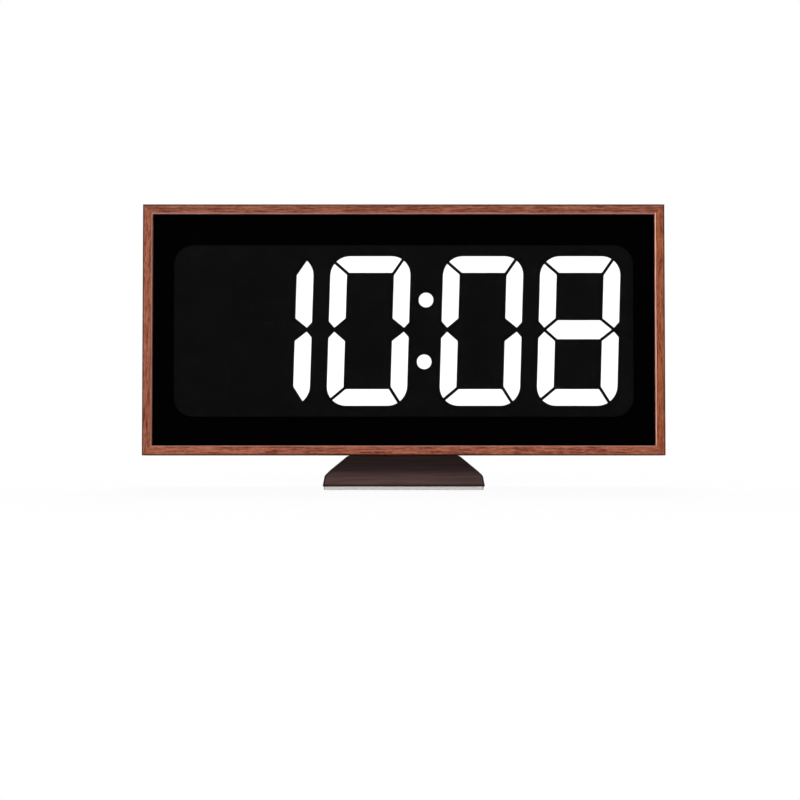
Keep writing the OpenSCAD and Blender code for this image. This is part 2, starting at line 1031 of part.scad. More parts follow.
module battery_cap() {
    color(grey_black)
        leaned()
            on_cell()
                difference() {
                    union() {
                        rotate_extrude()
                            polygon([
                                [0, 0],
                                [cap_d / 2, 0],
                                [cap_d / 2, cap_t],
                                [skirt_r, cap_t],
                                [skirt_r, skirt_deep],
                                [skirt_r - skirt_t, skirt_deep],
                                [skirt_r - skirt_t, cap_t],
                                [press_d / 2, cap_t],
                                [press_d / 2, cell_deep - cap_gap],
                                [0, cell_deep - cap_gap]
                            ]);
                        for (a = [0, 180])
                            sector(
                                skirt_r - skirt_t / 2,
                                skirt_r + lug_reach,
                                lug_deep,
                                lug_deep + lug_t,
                                a,
                                lug_angle
                            );
                    }
                    translate([-slot_l / 2, -slot_w / 2, -past])
                        cube([slot_l, slot_w, slot_deep + past]);
                }
}

// Back cover

module vents() {
    for (i = [0:vent_columns - 1], j = [-1, 1])
        part_box(
            [
                control_offset + (i - (vent_columns - 1) / 2) * vent_pitch,
                centre_z + j * (vent_l + vent_row_gap) / 2
            ],
            cover_front - past,
            [vent_w, cover_t + 2 * past, vent_l]
        );
    for (i = [0:sound_slots - 1])
        on_control(buzzer_place)
            part_box(
                [(i - (sound_slots - 1) / 2) * sound_pitch, 0],
                cover_front - past,
                [sound_w, cover_t + 2 * past, sound_l]
            );
}

// Posts that clamp the display board, bosses that carry the control board, and the battery tube
module cover_bosses() {
    for (i = [-1, 1], j = [-1, 1])
        turned([i * (housing_w / 2 - post_in), board_back, display_z + j * (board_h / 2 - post_d / 2)])
            cylinder(d = post_d, h = cover_front - board_back + cover_t / 2);
    for (p = control_boss_places())
        on_control(p)
            turned([0, control_back, 0])
                cylinder(d = boss_d, h = switch_stack + cover_t / 2);
    on_cell()
        translate([0, 0, cover_t / 2])
            cylinder(r = tube_r, h = tube_end - cover_t / 2);
}

// Space inside the battery tube: cap recess, bayonet ledge, lug groove and cell pocket
module cell_space() {
    hole = skirt_r + button_fit;
    pocket = coin_d / 2 + button_fit;
    on_cell() {
        rotate_extrude()
            polygon([
                [0, -past],
                [cap_d / 2 + button_fit, -past],
                [cap_d / 2 + button_fit, ledge_deep],
                [hole, ledge_deep],
                [hole, groove_deep],
                [lug_room, groove_deep],
                [lug_room, cell_deep],
                [pocket, cell_deep],
                [pocket, tube_end + past],
                [0, tube_end + past]
            ]);
        for (a = [0, 180])
            sector(
                skirt_r - skirt_t,
                notch_r,
                ledge_deep / 2,
                groove_deep + lug_gap,
                a - unlock_angle,
                notch_angle
            );
    }
}

module back_cover() {
    color(black)
        leaned()
            difference() {
                union() {
                    sheet(cover_front, cover_t);
                    cover_bosses();
                }
                cell_space();
                vents();
                cover_screw_holes();
                for (x = button_x)
                    on_control([x, button_height])
                        turned([0, cover_front - past, 0])
                            cylinder(d = button_d + 2 * button_fit, h = cover_t + 2 * past);
                for (p = control_boss_places())
                    on_control(p)
                        turned([0, control_back - past, 0])
                            cylinder(
                                r = small_screw[0] + screw_fit,
                                h = small_screw[3] - board_t + 2 * past
                            );
                on_control(socket_place)
                    layer(cover_front - past, cover_t + 2 * past)
                        oblong(socket_w + 2 * button_fit, socket_h + 2 * button_fit);
            }
}

module cover_screws() {
    color(steel)
        leaned()
            for (p = cover_screw_places())
                translate([p[0], cover_back, p[1]])
                    rotate([90, 0, 0])
                        sunk_screw(cover_screw);
}

module board_screws() {
    color(steel)
        leaned()
            for (p = control_boss_places())
                on_control(p)
                    turned([0, control_y, 0])
                        pan_screw(small_screw);
}

// Stand

// Solid with straight drafted walls, sloped sides and a leaning flat top; grown inwards by t at its sides
module stand_solid(t, top_t, bottom_z) {
    foot = [stand_w / 2 - t, stand_d / 2 - t];
    shoulder = foot - [stand_wall_in, stand_wall_in];
    top = [saddle_w / 2 - t, saddle_d / 2 - t];
    top_z = saddle_z - top_t;
    side_x = top[0] - top_spare * (shoulder[0] - top[0]) / (top_z - wall_top);
    drop = tan(lean);
    intersection() {
        layer(-stand_d, 2 * stand_d)
            polygon([
                [-foot[0], bottom_z],
                [foot[0], bottom_z],
                [shoulder[0], wall_top],
                [side_x, top_z + top_spare],
                [-side_x, top_z + top_spare],
                [-shoulder[0], wall_top]
            ]);
        translate([-stand_w, 0, 0])
            rotate([90, 0, 90])
                linear_extrude(height = 2 * stand_w)
                    polygon([
                        [-foot[1], bottom_z],
                        [foot[1], bottom_z],
                        [shoulder[1], wall_top],
                        [top[1], top_z - top[1] * drop],
                        [-top[1], top_z + top[1] * drop],
                        [-shoulder[1], wall_top]
                    ]);
    }
}

// Axes of the stand screws, with z = 0 on the clock's underside
module on_stand_screws() {
    for (s = [-1, 1])
        leaned()
            translate([s * stand_screw_x, frame_d / 2, 0])
                children();
}

// Places of the bottom plate's screws
module on_floor_screws() {
    for (i = [-1, 1], j = [-1, 1])
        translate([i * floor_boss[0], j * floor_boss[1], 0])
            children();
}

module stand_shell() {
    color(stand_brown)
        difference() {
            stand_solid(0, 0, pad_t);
            difference() {
                stand_solid(stand_t, saddle_t, pad_t - past);
                on_floor_screws()
                    translate([0, 0, floor_top])
                        cylinder(d = floor_boss_d, h = stand_h);
                on_stand_screws()
                    translate([0, 0, -saddle_t - insert_l])
                        cylinder(r = screw_boss_r, h = saddle_t + insert_l);
            }
            on_floor_screws()
                translate([0, 0, pad_t])
                    sunk_hole(floor_screw);
            on_stand_screws()
                translate([0, 0, -saddle_t - insert_l - past]) {
                    cylinder(r = insert_r + screw_fit, h = insert_l + past);
                    cylinder(r = stand_screw[0] + hole_room, h = saddle_t + insert_l + 2 * past);
                }
        }
}

module stand_inserts() {
    color(brass)
        on_stand_screws()
            translate([0, 0, -saddle_t - insert_l])
                difference() {
                    cylinder(r = insert_r, h = insert_l);
                    translate([0, 0, -past])
                        cylinder(r = stand_screw[0] + screw_fit, h = insert_l + 2 * past);
                }
}

module stand_screws() {
    color(steel)
        on_stand_screws()
            translate([0, 0, rail_t + rail_block_h - counterbore_deep])
                rotate([180, 0, 0])
                    pan_screw(stand_screw);
}

module stand_floor() {
    floor_draft = stand_wall_in * floor_t / stand_wall_h;
    size = [stand_w, stand_d] - 2 * (stand_t + floor_draft + sheet_fit) * [1, 1];
    color(black)
        difference() {
            slab(size[0], -size[1] / 2, size[1], pad_t, floor_t);
            on_floor_screws()
                translate([0, 0, pad_t])
                    sunk_hole(floor_screw);
        }
}

module floor_screws() {
    color(steel)
        on_floor_screws()
            translate([0, 0, pad_t])
                sunk_screw(floor_screw);
}

module ballast_plate() {
    color(steel)
        slab(ballast_size[0], -ballast_size[1] / 2, ballast_size[1], floor_top, ballast_size[2]);
}

module stand_pad() {
    size = [stand_w, stand_d] - 2 * pad_setback * [1, 1];
    color(pad_grey)
        slab(size[0], -size[1] / 2, size[1], 0, pad_t);
}

frame_top();
frame_bottom();
frame_left();
frame_right();
corner_blocks();
stand_block();
top_block();
front_panel();
window_mask();
display_housing();
hour_tens_segments();
hour_units_segments();
minute_tens_segments();
minute_units_segments();
colon_dots();
unlit_segments();
display_board();
segment_leds();
display_drivers();
display_connector();
display_screws();
ribbon_cable();
control_board();
control_connector();
microcontroller();
time_crystal();
capacitors();
buzzer();
tact_switches();
set_plunger();
up_plunger();
down_plunger();
light_plunger();
set_button();
up_button();
down_button();
light_button();
power_socket();
cell_contact();
coin_cell();
battery_cap();
back_cover();
cover_screws();
board_screws();
stand_shell();
stand_inserts();
stand_screws();
stand_floor();
floor_screws();
ballast_plate();
stand_pad();
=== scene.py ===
from math import pi, radians, tan

import bmesh
import bpy
from mathutils import Matrix, Vector


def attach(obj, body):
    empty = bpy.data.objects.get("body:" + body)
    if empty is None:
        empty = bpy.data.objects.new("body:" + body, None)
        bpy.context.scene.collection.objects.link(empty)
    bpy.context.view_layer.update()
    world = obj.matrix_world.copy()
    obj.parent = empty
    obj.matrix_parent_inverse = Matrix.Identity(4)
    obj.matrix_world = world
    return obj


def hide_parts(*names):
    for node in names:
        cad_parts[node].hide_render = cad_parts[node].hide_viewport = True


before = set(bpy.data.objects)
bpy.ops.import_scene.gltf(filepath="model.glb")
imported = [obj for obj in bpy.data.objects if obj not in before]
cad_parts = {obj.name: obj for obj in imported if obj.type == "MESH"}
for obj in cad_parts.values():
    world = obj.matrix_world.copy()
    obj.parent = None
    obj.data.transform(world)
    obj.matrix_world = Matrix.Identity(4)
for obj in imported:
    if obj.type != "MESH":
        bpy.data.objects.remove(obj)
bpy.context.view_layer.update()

# Frame rails
# Four lengths of red-brown hardwood, milled with a front lip that holds the panel, mitred and glued.
# Their edges are eased by hand: the satin stain is rubbed paler along the inner front edge, which also
# carries a painted highlight, brightest on the right rail; the outer eased edges carry painted shade.
MM = 0.001
WELD = 0.001 * MM
CLOCK_W, CLOCK_H, CLOCK_D = 380 * MM, 183 * MM, 36 * MM
LIP_W, LIP_T, RAIL_T = 7.2 * MM, 3.5 * MM, 4.8 * MM
OUTER_EASE, INNER_EASE = 1.1 * MM, 0.8 * MM
LEAN = radians(2)
SADDLE_Z = 23.2 * MM
SHADED_SHARP = radians(40)

# Marks in the wood, each with its length, width and detail, and how much it counts in the tone
FIGURE, STREAKS, FLECKS = (120 * MM, 10 * MM, 2), (14 * MM, 1.1 * MM, 3), (4 * MM, 0.6 * MM, 2)
FIBRES, PORES = (7 * MM, 0.16 * MM, 2), (3.5 * MM, 0.22 * MM, 1)
RING_SHARE, STREAK_SHARE, FLECK_SHARE, FIBRE_SHARE = 0.24, 0.45, 0.5, 0.2
RINGS_IN_FIGURE, RING_FOLD = 9.0, 0.5
DARK_AT, MIDDLE_AT, PALE_AT = 0.51, 0.63, 0.75
GRAIN_DEPTH, FINE_SHARE, GRAIN_SHEEN = 0.08 * MM, 0.6, 0.2

# From the upright clock, front at y = 0 and underside at z = 0, to its leaning place on the stand
ON_STAND = (
    Matrix.Translation((0, 0, SADDLE_Z))
    @ Matrix.Rotation(-LEAN, 4, "X")
    @ Matrix.Translation((0, -CLOCK_D / 2, 0))
)


def screen(red, green, blue):
    """Shader colour of a colour given in screen values."""
    share = [value / 255 for value in (red, green, blue)]
    return (*(((s + 0.055) / 1.055) ** 2.4 if s > 0.04045 else s / 12.92 for s in share), 1.0)


def toned(colour, red, green, blue):
    """A shader colour with its three parts multiplied."""
    return (red * colour[0], green * colour[1], blue * colour[2], 1.0)


def finish(name, values):
    """A material and its shader, with the shader's plain values set."""
    material = bpy.data.materials.new(name)
    material.use_nodes = True
    shader = material.node_tree.nodes["Principled BSDF"]
    for socket, value in values.items():
        shader.inputs[socket].default_value = value
    return material, shader


def feed(material, socket, value):
    """Sets a socket to a plain value or joins it to another node's output."""
    if isinstance(value, bpy.types.NodeSocket):
        material.node_tree.links.new(value, socket)
    else:
        socket.default_value = value


def add(material, kind, inputs, **settings):
    """A node of a material, each input set to a plain value or joined to another node's output."""
    made = material.node_tree.nodes.new("ShaderNode" + kind)
    for name, value in settings.items():
        setattr(made, name, value)
    for name, value in inputs.items():
        feed(material, made.inputs[name], value)
    return made


def worked(material, operation, first, second):
    """Result of an operation on two numbers."""
    return add(material, "Math", {0: first, 1: second}, operation=operation).outputs["Value"]


def total(material, *parts):
    """Sum of factors, each given with its weight."""
    height = 0.0
    for weight, factor in parts:
        made = add(material, "Math", {0: factor, 1: weight, 2: height}, operation="MULTIPLY_ADD")
        height = made.outputs["Value"]
    return height


def spread(material, factor, low, high, start=0.3, stop=0.7):
    """Number that goes from low to high as the factor goes from start to stop."""
    inputs = {"Value": factor, "From Min": start, "From Max": stop, "To Min": low, "To Max": high}
    return add(material, "MapRange", inputs).outputs["Result"]


def shades(material, factor, stops):
    """Colour that runs through the stops, each a place from 0 to 1 and a colour, as the factor grows."""
    ramp = add(material, "ValToRGB", {"Fac": factor})
    while len(ramp.color_ramp.elements) < len(stops):
        ramp.color_ramp.elements.new(0.5)
    for element, (position, colour) in zip(ramp.color_ramp.elements, stops):
        element.position = position
        element.color = colour
    return ramp.outputs["Color"]


def mixed(material, factor, first, second, blend="MIX"):
    """Second colour laid over the first."""
    mix = add(material, "Mix", {}, data_type="RGBA", blend_type=blend)
    for socket, value in zip((mix.inputs[0], mix.inputs[6], mix.inputs[7]), (factor, first, second)):
        feed(material, socket, value)
    return mix.outputs[2]


def where(material):
    """Place of each point, in metres."""
    return add(material, "TexCoord", {}).outputs["Object"]


def marked(material, name):
    """Value of a piece's own attribute."""
    return add(material, "Attribute", {}, attribute_name=name).outputs["Fac"]


def noise(material, size, detail=3.0, roughness=0.55):
    """Even or stretched unevenness of a given size along x, y and z, in metres."""
    laid = add(material, "Mapping", {"Vector": where(material), "Scale": [1 / s for s in size]})
    inputs = {"Vector": laid.outputs["Vector"], "Scale": 1.0, "Detail": detail, "Roughness": roughness}
    return add(material, "TexNoise", inputs).outputs["Fac"]


def relief(material, shader, height, depth, strength=1.0):
    """Bump of a given depth in metres."""
    bump = add(material, "Bump", {"Height": height, "Distance": depth, "Strength": strength})
    feed(material, shader.inputs["Normal"], bump.outputs["Normal"])


def wood(name, along, dark, middle, pale, rubbed_and_highlit, painted_edge_shade):
    """Stained wood with its grain along x or z: rings, streaks, flecks, fibres, pores, handled edges,
    the inner one rubbed paler with a painted highlight, the outer ones with painted shade.
    """
    material, shader = finish(name, {"Specular IOR Level": GRAIN_SHEEN})

    def grain(length, width, detail):
        size = {"x": (length, width, width), "z": (width, width, length)}[along]
        return noise(material, size, detail, roughness=0.6)

    rings = worked(material, "PINGPONG", total(material, (RINGS_IN_FIGURE, grain(*FIGURE))), RING_FOLD)
    streaks, flecks, fibres, pores = (grain(*mark) for mark in (STREAKS, FLECKS, FIBRES, PORES))
    coarse = ((RING_SHARE, rings), (STREAK_SHARE, streaks))
    tone = total(material, *coarse, (FLECK_SHARE, flecks), (FIBRE_SHARE, fibres))
    colour = shades(material, tone, [(DARK_AT, dark), (MIDDLE_AT, middle), (PALE_AT, pale)])
    in_pores = spread(material, pores, low=0.0, high=0.75, start=0.6, stop=0.68)
    colour = mixed(material, in_pores, colour, dark)
    # The inner edge is rubbed paler with a painted highlight; the outer edges get painted shade
    for edge, edge_tone in (("rubbed_and_highlit", rubbed_and_highlit), ("painted_edge_shade", painted_edge_shade)):
        patches = spread(material, streaks, low=0.6, high=1.0)
        share = worked(material, "MULTIPLY", marked(material, edge), patches)
        colour = mixed(material, share, colour, edge_tone)
    feed(material, shader.inputs["Base Color"], colour)
    satin = spread(material, tone, low=0.56, high=0.44, start=0.48, stop=0.78)
    handled = spread(material, marked(material, "rubbed_and_highlit"), low=1.0, high=0.5, start=0, stop=1)
    feed(material, shader.inputs["Roughness"], worked(material, "MULTIPLY", satin, handled))
    fine = total(material, (FINE_SHARE, fibres), (-FINE_SHARE, pores))
    relief(material, shader, fine, GRAIN_DEPTH, strength=0.6)
    return material


def piece(bm, name, body, materials, slot, *nodes):
    """A finished mesh as a piece of the clock that rides on a body and stands for its nodes."""
    mesh = bpy.data.meshes.new(name)
    bm.to_mesh(mesh)
    bm.free()
    mesh.shade_smooth()
    mesh.set_sharp_from_angle(angle=SHADED_SHARP)
    for material in materials:
        mesh.materials.append(material)
    made = bpy.data.objects.new(name, mesh)
    bpy.context.scene.collection.objects.link(made)
    made.modifiers.new("even_shading", "WEIGHTED_NORMAL").keep_sharp = True
    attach(made, body)
    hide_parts(*nodes)
    return made


def points(parts):
    """The vertices among the parts of a mesh."""
    return [part for part in parts if isinstance(part, bmesh.types.BMVert)]


def rounded(bm, edges, width, segments):
    """Rounds edges and returns the faces of the rounding."""
    made = bmesh.ops.bevel(
        bm,
        geom=edges,
        offset=width,
        segments=segments,
        profile=0.5,
        affect="EDGES",
        clamp_overlap=True,
        material=-1,
    )
    return made["faces"]


def rail(name, node, length, place, material):
    """One rail along x, outer face down: its section run out, its long edges eased, its ends mitred."""
    bm = bmesh.new()
    rubbed_and_highlit = bm.faces.layers.float.new("rubbed_and_highlit")
    painted_edge_shade = bm.faces.layers.float.new("painted_edge_shade")
    section = [(0, 0), (CLOCK_D, 0), (CLOCK_D, RAIL_T), (LIP_T, RAIL_T), (LIP_T, LIP_W), (0, LIP_W)]
    end = bm.faces.new([bm.verts.new((-length / 2, y, z)) for y, z in section])
    run = bmesh.ops.extrude_face_region(bm, geom=[end])["geom"]
    bmesh.ops.translate(bm, vec=(length, 0, 0), verts=points(run))

    def corner(y, z):
        on_line = [v for v in bm.verts if abs(v.co.y - y) + abs(v.co.z - z) < WELD]
        return [e for e in bm.edges if e.verts[0] in on_line and e.verts[1] in on_line]

    # The outer eased edges are painted with shade
    for face in rounded(bm, corner(0, 0) + corner(CLOCK_D, 0), OUTER_EASE, segments=3):
        face[painted_edge_shade] = 1.0
    # The inner front edge: rubbed wear with a painted highlight
    for face in rounded(bm, corner(0, LIP_W), INNER_EASE, segments=3):
        face[rubbed_and_highlit] = 1.0
    for side in (-1, 1):
        bmesh.ops.bisect_plane(
            bm,
            geom=bm.verts[:] + bm.edges[:] + bm.faces[:],
            dist=WELD,
            plane_co=(side * length / 2, 0, 0),
            plane_no=(side, 0, 1),
            clear_outer=True,
        )
        for face in bmesh.ops.holes_fill(bm, edges=[e for e in bm.edges if e.is_boundary])["faces"]:
            face[rubbed_and_highlit] = face[painted_edge_shade] = 0.0
    bmesh.ops.recalc_face_normals(bm, faces=bm.faces)
    bmesh.ops.transform(bm, matrix=ON_STAND @ place, verts=bm.verts)
    return piece(bm, name, "clock", [material], "wood_frame", node)


DARK_GRAIN, MIDDLE_GRAIN, PALE_GRAIN = screen(100, 37, 14), screen(145, 78, 54), screen(180, 105, 78)
# Tone of the painted shade on the rails' outer eased edges
EDGE_SHADE_TONE = screen(54, 34, 26)
# How each rail is toned from the plain stain, in red, green and blue, and the tone of its inner edge:
# rubbed wear with a painted highlight, brightest on the right rail
RAIL_TONES = {
    "top": ((0.81, 0.82, 0.86), screen(178, 128, 114)),
    "bottom": ((1.1, 1.1, 1.14), screen(180, 130, 114)),
    "left": ((0.91, 0.87, 0.8), screen(170, 120, 106)),
    "right": ((0.94, 0.8, 0.45), screen(246, 184, 168)),
}


def rail_wood(name, along):
    """Wood of one rail, in its own tone."""
    shares, rubbed_and_highlit = RAIL_TONES[name]
    grain_tones = [toned(stain, *shares) for stain in (DARK_GRAIN, MIDDLE_GRAIN, PALE_GRAIN)]
    return wood("red_wood_" + name, along, *grain_tones, rubbed_and_highlit, EDGE_SHADE_TONE)


TURNED_OVER = Matrix.Translation((0, 0, CLOCK_H)) @ Matrix.Rotation(pi, 4, "Y")
rail("rail_bottom", "frame_bottom", CLOCK_W, Matrix(), rail_wood("bottom", "x"))
rail("rail_top", "frame_top", CLOCK_W, TURNED_OVER, rail_wood("top", "x"))
for side, name in ((-1, "left"), (1, "right")):
    at_side = Matrix.Translation((side * CLOCK_W / 2, 0, CLOCK_H / 2))
    on_end = at_side @ Matrix.Rotation(-side * pi / 2, 4, "Y")
    rail("rail_" + name, "frame_" + name, CLOCK_H, on_end, rail_wood(name, "z"))

# Glue blocks
# Sawn pale softwood blocks glued inside the frame's corners and on the top and bottom rails.
# They take the back cover's screws, and the bottom one also the stand's screws.
PALE_WOOD = [
    screen(176, 140, 98),
    screen(204, 172, 128),
    screen(222, 196, 158),
    screen(226, 204, 170),
    screen(160, 128, 92),
]


def dress(material, *nodes):
    """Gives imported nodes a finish."""
    for node in nodes:
        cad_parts[node].material_slots[0].material = material


dress(wood("pale_wood", "x", *PALE_WOOD), "corner_blocks", "stand_block", "top_block")

# Front panel
# A sheet of polished smoked acrylic with flame-polished edges, dropped in behind the lip of the frame.
# It hides the display until the segments light; only faint wiping marks break its shine.
PANEL_T, PANEL_FIT, FILM_GAP, PANEL_EDGE = 2.0 * MM, 0.3 * MM, 0.04 * MM, 0.2 * MM
SMOKE, PANEL_TINT, ACRYLIC_IOR = (0.0004, 0.0004, 0.0005, 1), 0.6, 1.49
WIPING = (60 * MM, 60 * MM, 25 * MM)
smoked, shader = finish("smoked_acrylic", {"Base Color": SMOKE, "IOR": ACRYLIC_IOR, "Alpha": PANEL_TINT})
wiped = noise(smoked, WIPING, detail=4)
feed(smoked, shader.inputs["Roughness"], spread(smoked, wiped, low=0.03, high=0.07))
panel_w, panel_h = CLOCK_W - 2 * (RAIL_T + PANEL_FIT), CLOCK_H - 2 * (RAIL_T + PANEL_FIT)
panel_t = PANEL_T - FILM_GAP
behind_lip = ON_STAND @ Matrix.Translation((0, LIP_T + panel_t / 2, CLOCK_H / 2))
bm = bmesh.new()
bmesh.ops.create_cube(bm, size=1, matrix=behind_lip @ Matrix.Diagonal((panel_w, panel_t, panel_h, 1)))
rounded(bm, bm.edges[:], PANEL_EDGE, segments=2)
piece(bm, "panel", "clock", [smoked], "smoked_panel", "front_panel")

# Window mask
# Thin film behind the panel, printed dense black apart from the clear window with round corners.
# The print is matt, with a very fine unevenness of the ink.
INK_GRAIN = 0.4 * MM
INK_TONES = [(0.35, screen(2, 2, 3)), (0.65, screen(4, 4, 5))]


def speckle(material, size, detail):
    """Unevenness of one size all ways."""
    return noise(material, (size, size, size), detail)


ink, shader = finish("black_ink", {"Specular IOR Level": 0.02})
grains = speckle(ink, INK_GRAIN, detail=2)
feed(ink, shader.inputs["Base Color"], shades(ink, grains, INK_TONES))
feed(ink, shader.inputs["Roughness"], spread(ink, grains, low=0.7, high=0.85))
dress(ink, "window_mask")

# Segment housing and dark segments
# A grey moulding with an opening for each segment; the unlit guides in it take its tone.
# Its face is finely eroded, so that it stays matt and nearly black behind the panel.
CLOUDS, CLOUD_SHARE, PIT_SHARE = 12 * MM, 0.4, 0.6
DEEP_TONE, HIGH_TONE, PIT_DEPTH = 0.8, 1.2, 0.2


def moulded(name, colour, shine, pit, gloss=0.5):
    """Moulded plastic: fine eroded pits, with a little unevenness of shine and tone."""
    material, shader = finish(name, {"Specular IOR Level": gloss})
    pits = speckle(material, pit, detail=2)
    mottle = total(material, (CLOUD_SHARE, speckle(material, CLOUDS, detail=3)), (PIT_SHARE, pits))
    deep, high = (toned(colour, share, share, share) for share in (DEEP_TONE, HIGH_TONE))
    feed(material, shader.inputs["Base Color"], shades(material, mottle, [(0.35, deep), (0.65, high)]))
    feed(material, shader.inputs["Roughness"], spread(material, pits, low=shine - 0.06, high=shine + 0.08))
    relief(material, shader, pits, PIT_DEPTH * pit, strength=0.7)
    return material


housing_grey = moulded("housing_grey", screen(104, 104, 106), shine=0.7, pit=0.3 * MM, gloss=0.2)
dress(housing_grey, "display_housing", "unlit_segments")

# Lit segments and colon
# Clear-white light guides pressed into the housing, lit from behind by the light sources on the board.
# They glow evenly, a touch warmer in places.
GUIDE, GLOW, GLOW_PATCH = (0.8, 0.8, 0.8, 1), 7.2, 20 * MM
GLOW_TONES = [(0.3, (1, 0.97, 0.94, 1)), (0.6, (1, 1, 1, 1))]
lit, shader = finish("lit_guide", {"Base Color": GUIDE, "Roughness": 0.5, "Emission Strength": GLOW})
glow = speckle(lit, GLOW_PATCH, detail=1)
feed(lit, shader.inputs["Emission Color"], shades(lit, glow, GLOW_TONES))
for digit in ("hour_tens", "hour_units", "minute_tens", "minute_units"):
    dress(lit, digit + "_segments")
dress(lit, "colon_dots")

# Circuit boards
# Glass-fibre boards under green solder mask, with copper tracks that show through as paler lines.
# The display board is screwed to the housing, the control board to the back cover.
TRACK_FIELDS, TRACK_W, TRACK_RISE, WEAVE = 140, 0.05, 0.03 * MM, 0.6 * MM
WEAVE_TONES = [(0.3, (0.85, 0.85, 0.85, 1)), (0.7, (1.1, 1.1, 1.1, 1))]
LACQUERED = {"Roughness": 0.35, "Coat Weight": 0.2, "Coat Roughness": 0.2}
mask_green, shader = finish("solder_mask", LACQUERED)
turned = add(
    mask_green,
    "Mapping",
    {"Vector": where(mask_green), "Rotation": (pi / 2, 0, 0), "Scale": (TRACK_FIELDS,) * 3},
)
tracks = add(
    mask_green,
    "TexBrick",
    {
        "Vector": turned.outputs["Vector"],
        "Scale": 1.0,
        "Mortar Size": TRACK_W,
        "Color1": screen(18, 70, 42),
        "Color2": screen(22, 82, 48),
        "Mortar": screen(58, 128, 78),
    },
)
woven = shades(mask_green, speckle(mask_green, WEAVE, detail=2), WEAVE_TONES)
green = mixed(mask_green, 1.0, tracks.outputs["Color"], woven, "MULTIPLY")
feed(mask_green, shader.inputs["Base Color"], green)
relief(mask_green, shader, tracks.outputs["Fac"], TRACK_RISE)
dress(mask_green, "display_board", "control_board")

# Light sources, chips, plugs and small electronics
# Moulded packages soldered to the two boards: pale light sources, black chips and buzzer, ivory plugs,
# grey switch bodies with their moving tips.
source_cream = moulded("light_source_cream", screen(222, 208, 150), shine=0.45, pit=0.2 * MM)
dress(source_cream, "segment_leds")
chip_black = moulded("chip_black", screen(34, 34, 35), shine=0.55, pit=0.15 * MM)
dress(chip_black, "display_drivers", "microcontroller", "buzzer")
plug_ivory = moulded("plug_ivory", screen(226, 220, 198), shine=0.4, pit=0.25 * MM)
dress(plug_ivory, "display_connector", "control_connector")
switch_grey = moulded("switch_grey", screen(88, 88, 90), shine=0.5, pit=0.2 * MM)
dress(switch_grey, "tact_switches", "set_plunger", "up_plunger", "down_plunger", "light_plunger")

# Ribbon cable
# Flat grey cable between the two plugs, with a fine ridge over each of its conductors.
# The ridges run along the cable, ten of them in its width.
RIBBON_PITCH, RIDGE_H = 1.27 * MM, 0.2 * MM
WAVE_RATE = 20
RIBBON_TONES = [(0.2, screen(140, 140, 144)), (0.8, screen(172, 172, 176))]


def stripes(material, across, pitch):
    """Even stripes that follow each other across an axis, at a pitch in metres."""
    inputs = {"Vector": where(material), "Scale": 2 * pi / (WAVE_RATE * pitch), "Distortion": 0.0}
    return add(material, "TexWave", inputs, bands_direction=across, wave_profile="SIN").outputs["Fac"]


ribbon, shader = finish("ribbon_grey", {"Roughness": 0.5})
ridges = stripes(ribbon, "Z", RIBBON_PITCH)
feed(ribbon, shader.inputs["Base Color"], shades(ribbon, ridges, RIBBON_TONES))
relief(ribbon, shader, ridges, RIDGE_H)
dress(ribbon, "ribbon_cable")

# Inner screws and other inner metal
# Turned, rolled or pressed: plated steel screws and weight, steel cell and crystal, aluminium cans, and
# brass for the cell's contact and the stand's inserts. Fine draw marks and dull patches break the shine.
DRAW_MARKS, DRAW_DEPTH = (4 * MM, 0.15 * MM, 0.15 * MM), 0.01 * MM
DULL_PATCH, DULL_TONE = 6 * MM, 0.82


def drawn(name, colour, shine):
    """Drawn or rolled metal with fine marks along x."""
    material, shader = finish(name, {"Metallic": 1.0})
    marks = noise(material, DRAW_MARKS, detail=3)
    dull = speckle(material, DULL_PATCH, detail=3)
    deep = toned(colour, DULL_TONE, DULL_TONE, DULL_TONE)
    feed(material, shader.inputs["Base Color"], shades(material, dull, [(0.3, deep), (0.6, colour)]))
    feed(material, shader.inputs["Roughness"], spread(material, marks, low=shine - 0.08, high=shine + 0.12))
    relief(material, shader, marks, DRAW_DEPTH, strength=0.6)
    return material


steel = drawn("plated_steel", screen(188, 188, 186), shine=0.32)
dress(steel, "display_screws", "board_screws", "stand_screws", "floor_screws")
dress(steel, "time_crystal", "coin_cell", "ballast_plate")
dress(drawn("bare_aluminium", screen(196, 197, 200), shine=0.38), "capacitors")
dress(drawn("bright_brass", screen(205, 168, 96), shine=0.3), "cell_contact", "stand_inserts")

# Power inlet
# A drawn steel shell soldered to the control board, with a thin black tongue in its mouth.
# Gilt contacts lie side by side on the tongue. The shell ends just inside the back cover.
INLET_X, INLET_Z, INLET_END, INLET_EDGE = -122 * MM, 67.5 * MM, 34.75 * MM, 0.08 * MM
TONGUE_W, TONGUE_T, TONGUE_SUNK = 6.6 * MM, 0.7 * MM, 1.4 * MM
CONTACT_PITCH, CONTACT_H = 0.5 * MM, 0.03 * MM
BLACK_UNTIL, GILT_FROM = 0.5, 0.62
HAIR = 0.02 * MM
FLAT_JOIN, EDGE_OVER, LEVEL = radians(1), radians(30), 0.95


def softened(name, node, body, materials, slot, width, past, second):
    """A copy of a node: triangles joined, edges past a depth rounded, some faces of a second material."""
    bm = bmesh.new()
    bm.from_mesh(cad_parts[node].data)
    bmesh.ops.remove_doubles(bm, verts=bm.verts, dist=WELD)
    bmesh.ops.dissolve_limit(bm, angle_limit=FLAT_JOIN, verts=bm.verts, edges=bm.edges)
    upright = ON_STAND.inverted()
    outer = {v for v in bm.verts if (upright @ v.co).y > past}
    sharp = [e for e in bm.edges if e.is_manifold and e.calc_face_angle() > EDGE_OVER]
    edges = [e for e in sharp if e.verts[0] in outer and e.verts[1] in outer]
    rounded(bm, edges, width, segments=2)
    for face in second(bm):
        face.material_index = 1
    return piece(bm, name, body, materials, slot, node)


